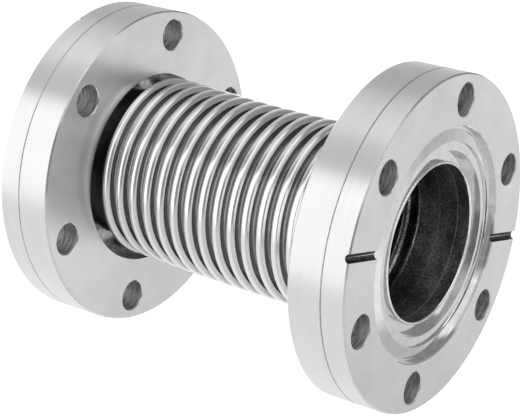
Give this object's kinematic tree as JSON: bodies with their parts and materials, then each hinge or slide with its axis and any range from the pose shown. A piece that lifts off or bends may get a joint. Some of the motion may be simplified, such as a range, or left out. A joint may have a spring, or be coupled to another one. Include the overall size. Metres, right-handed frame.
{
  "type": "flexible vacuum coupling",
  "caption": "Stainless steel bellows between two knife-edge vacuum flanges, taking up small bends and length changes in a vacuum line.",
  "frame": {"origin": "middle of the lower flange's gasket face, which the part stands on", "axes": "+Z along the coupling's axis from the lower flange to the upper one; +X through a bolt hole of each flange"},
  "size_m": [0.0694, 0.0694, 0.0851],
  "materials": {
    "flange_steel": "fine turned, satin",
    "bellows_steel": "bright formed sheet",
    "weld_steel": "bright fused bead"
  },
  "bodies": {
    "lower_end": {"lower_flange": "flange_steel", "lower_weld_bead": "weld_steel"},
    "bellows_body": {"bellows": "bellows_steel"},
    "upper_end": {"upper_flange": "flange_steel", "upper_weld_bead": "weld_steel"}
  },
  "joints": [
    {"name": "bellows_bend", "type": "hinge", "parent": "lower_end", "child": "bellows_body", "pos_m": [0, 0, 0.02804], "axis": [0, 1, 0], "range_deg": [-15, 15], "stiffness_Nm_per_rad": 4.8, "deforming": ["bellows"]},
    {"name": "bellows_stroke", "type": "slide", "parent": "bellows_body", "child": "upper_end", "axis": [0, 0, 1], "range_m": [-0.006, 0.004], "stiffness_N_per_m": 30000, "deforming": ["bellows"]}
  ]
}
